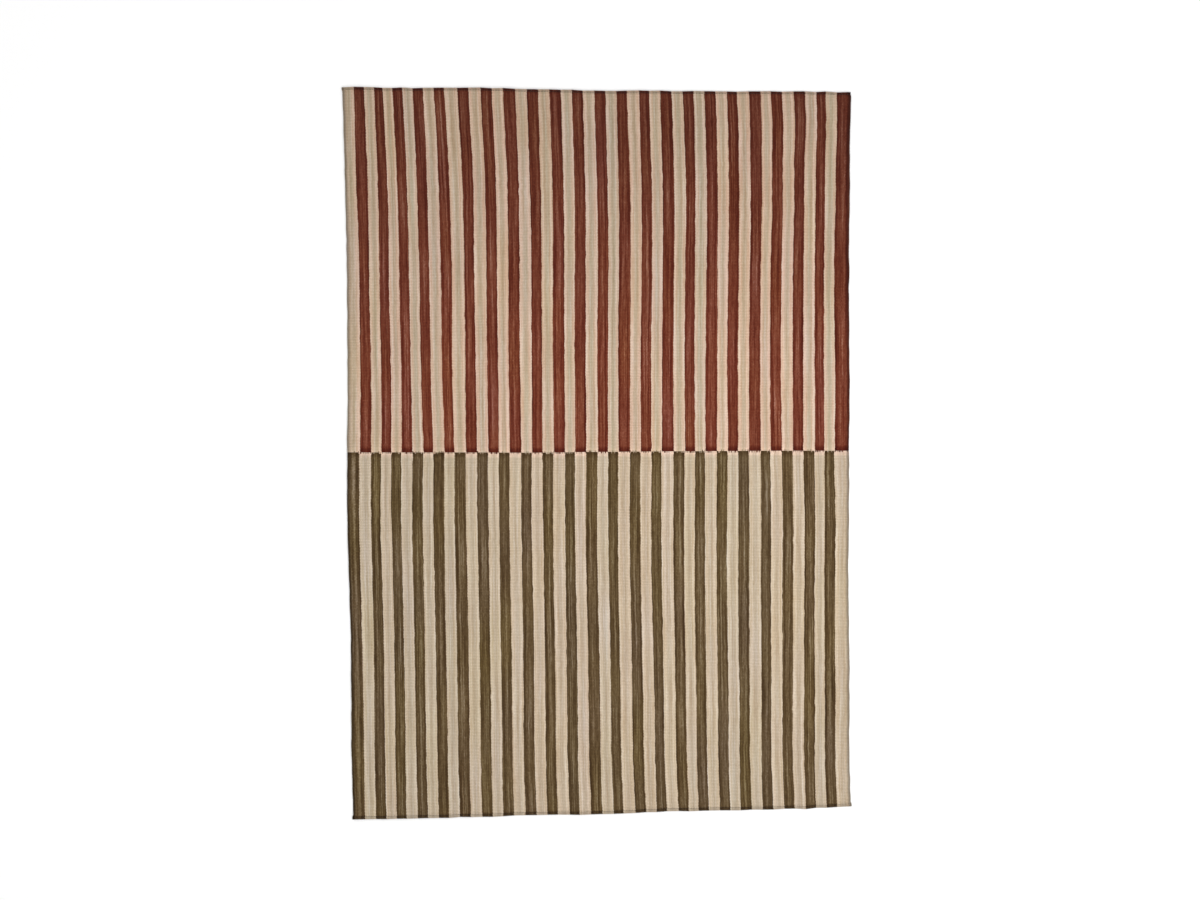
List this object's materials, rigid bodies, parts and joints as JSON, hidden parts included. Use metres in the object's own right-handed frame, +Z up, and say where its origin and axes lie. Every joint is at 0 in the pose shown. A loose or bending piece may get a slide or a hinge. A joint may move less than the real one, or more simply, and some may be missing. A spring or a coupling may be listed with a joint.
{
  "type": "rug",
  "caption": "Flat-woven wool rug with lengthwise stripes that change colour at mid-length, narrow end hems and firm side edges, lying flat on a floor.",
  "frame": {"origin": "under the middle of the rug's bounding box, on the floor it lies on", "axes": "+Z up out of the face, +Y along the length towards the end with the red stripes, X across the width"},
  "size_m": [1.6224, 2.335, 0.0065],
  "materials": {
    "woven_wool": "matt weft-faced wool, striped beige and rust red in the far half, olive brown and beige in the near half"
  },
  "bodies": {
    "root": {"rug": "woven_wool"}
  },
  "joints": []
}
